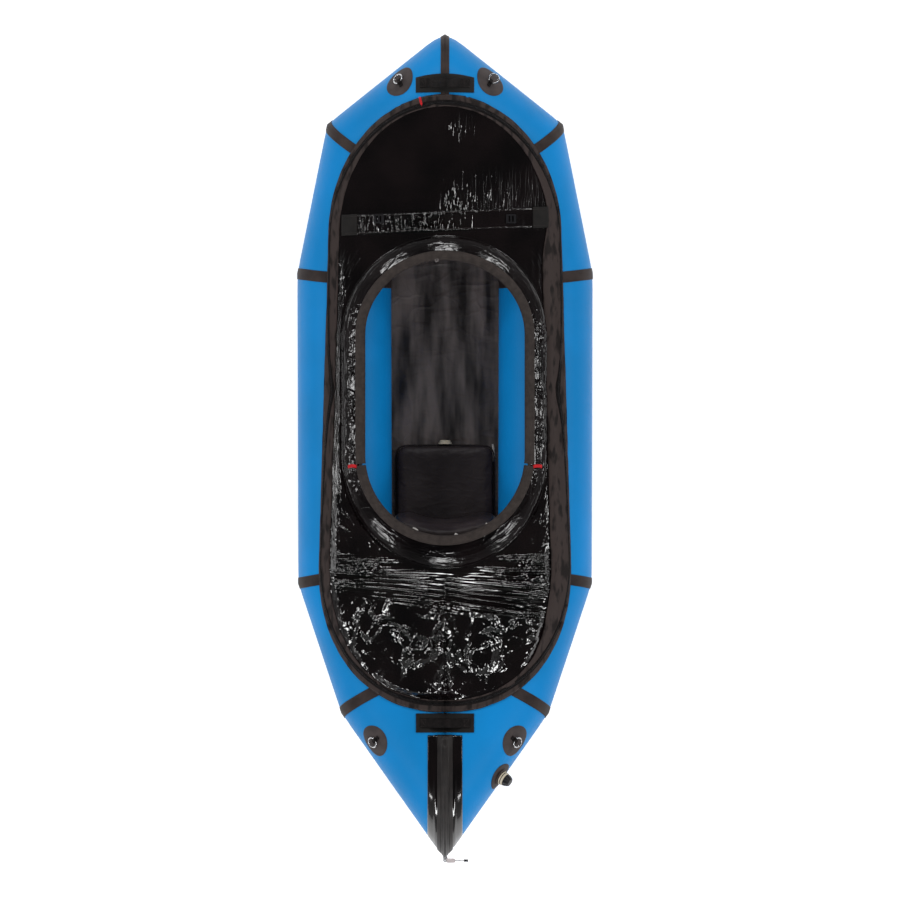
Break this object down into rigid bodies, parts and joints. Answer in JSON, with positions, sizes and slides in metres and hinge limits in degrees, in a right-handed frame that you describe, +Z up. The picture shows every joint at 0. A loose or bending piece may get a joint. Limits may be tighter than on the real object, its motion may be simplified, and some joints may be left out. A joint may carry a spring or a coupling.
{
  "type": "packraft",
  "caption": "Decked inflatable packraft with an oval coaming, pointed upturned ends, a tail zip, tie-down rings, grab handles, an inflatable seat and a folding backrest.",
  "frame": {"origin": "middle of the hull's length and beam, on the ground under the floor", "axes": "+Y towards the bow, +X to starboard and +Z up"},
  "size_m": [0.9818, 2.7529, 0.4792],
  "materials": {
    "blue_fabric": "satin coated nylon",
    "seam_tape": "matt coated tape",
    "band_fabric": "matt coated fabric",
    "deck_fabric": "glossy coated fabric",
    "floor_fabric": "satin coated fabric",
    "rim_fabric": "matt woven fabric",
    "webbing": "woven webbing",
    "steel": "polished wire",
    "zip_rubber": "moulded zip chain",
    "grey_plastic": "moulded",
    "black_plastic": "moulded",
    "ivory_plastic": "moulded",
    "rubber": "matt",
    "red_webbing": "woven webbing",
    "seat_fabric": "satin coated fabric",
    "rod_plastic": "drawn rod"
  },
  "bodies": {
    "hull": {"bow_handle_patch": "webbing", "bow_handle_strap": "webbing", "bow_seam_tape": "seam_tape", "coaming_collar": "deck_fabric", "coaming_rod_front": "rod_plastic", "coaming_rod_rear": "rod_plastic", "coaming_sleeve_front": "rim_fabric", "coaming_sleeve_rear": "rim_fabric", "deck_buckle_port": "black_plastic", "deck_buckle_starboard": "black_plastic", "deck_edge_band": "band_fabric", "deck_skin": "deck_fabric", "deck_zip_chain": "zip_rubber", "deck_zip_slider": "black_plastic", "floor_panel": "floor_fabric", "foredeck_cross_band": "band_fabric", "front_seam_tape_port": "seam_tape", "front_seam_tape_starboard": "seam_tape", "quarter_seam_tape_port": "seam_tape", "quarter_seam_tape_starboard": "seam_tape", "rear_seam_tape_port": "seam_tape", "rear_seam_tape_starboard": "seam_tape", "ring_patch_bow_port": "rubber", "ring_patch_bow_starboard": "rubber", "ring_patch_stern_port": "rubber", "ring_patch_stern_starboard": "rubber", "seat_cushion": "seat_fabric", "seat_valve": "ivory_plastic", "shoulder_seam_tape_port": "seam_tape", "shoulder_seam_tape_starboard": "seam_tape", "stern_handle_patch": "webbing", "stern_handle_strap": "webbing", "stern_seam_tape": "seam_tape", "stern_zip_chain": "zip_rubber", "stern_zip_tape": "deck_fabric", "tube_bow_port": "blue_fabric", "tube_bow_starboard": "blue_fabric", "tube_quarter_port": "blue_fabric", "tube_quarter_starboard": "blue_fabric", "tube_shoulder_port": "blue_fabric", "tube_shoulder_starboard": "blue_fabric", "tube_side_port": "blue_fabric", "tube_side_starboard": "blue_fabric", "tube_stern_port": "blue_fabric", "tube_stern_starboard": "blue_fabric", "valve_body": "ivory_plastic", "valve_flange": "rubber"},
    "bow_starboard_ring": {"ring_bow_starboard": "steel"},
    "bow_port_ring": {"ring_bow_port": "steel"},
    "stern_starboard_ring": {"ring_stern_starboard": "steel"},
    "stern_port_ring": {"ring_stern_port": "steel"},
    "inflation_valve_cap": {"valve_cap": "black_plastic"},
    "seat_cap": {"seat_valve_cap": "ivory_plastic"},
    "stern_slider": {"stern_zip_slider": "steel"},
    "stern_pull": {"stern_zip_pull": "grey_plastic"},
    "deck_pull": {"deck_zip_pull": "red_webbing"},
    "folding_backrest": {"backrest": "seat_fabric"}
  },
  "joints": [
    {"name": "bow_starboard_ring_swing", "type": "hinge", "parent": "hull", "child": "bow_starboard_ring", "pos_m": [0.1508, 1.20294, 0.36892], "axis": [0.7571, -0.5906, -0.2793], "range_deg": [-57, 93]},
    {"name": "bow_port_ring_swing", "type": "hinge", "parent": "hull", "child": "bow_port_ring", "pos_m": [-0.1508, 1.20294, 0.36892], "axis": [0.7571, 0.5906, 0.2793], "range_deg": [0, 150]},
    {"name": "stern_starboard_ring_swing", "type": "hinge", "parent": "hull", "child": "stern_starboard_ring", "pos_m": [0.23196, -0.97138, 0.3141], "axis": [-0.5695, -0.8003, 0.1877], "range_deg": [0, 150]},
    {"name": "stern_port_ring_swing", "type": "hinge", "parent": "hull", "child": "stern_port_ring", "pos_m": [-0.23196, -0.97138, 0.3141], "axis": [-0.5695, 0.8003, -0.1877], "range_deg": [0, 150]},
    {"name": "valve_cap_turn", "type": "hinge", "parent": "hull", "child": "inflation_valve_cap", "pos_m": [0.18334, -1.09319, 0.28119], "axis": [0.7947, -0.4778, 0.3743], "range_deg": [0, 90]},
    {"name": "seat_valve_cap_turn", "type": "hinge", "parent": "hull", "child": "seat_cap", "pos_m": [0, 0.0083, 0.03824], "axis": [0, 1, 0], "range_deg": [0, 90]},
    {"name": "stern_zip_slider_run", "type": "hinge", "parent": "hull", "child": "stern_slider", "pos_m": [0, -1.24197, 0.25305], "axis": [-1, 0, 0], "range_deg": [0, 35]},
    {"name": "stern_zip_pull_swing", "type": "hinge", "parent": "stern_slider", "child": "stern_pull", "pos_m": [0, -1.36808, 0.35185], "axis": [0, -0.6167, -0.7872], "range_deg": [0, 180]},
    {"name": "deck_zip_pull_swing", "type": "hinge", "parent": "hull", "child": "deck_pull", "pos_m": [-0.07662, 1.12417, 0.42879], "axis": [0.9318, 0.2232, 0.2863], "range_deg": [0, 150]},
    {"name": "backrest_fold", "type": "hinge", "parent": "hull", "child": "folding_backrest", "pos_m": [0, -0.2113, 0.0829], "axis": [-1, 0, 0], "range_deg": [0, 70]}
  ]
}
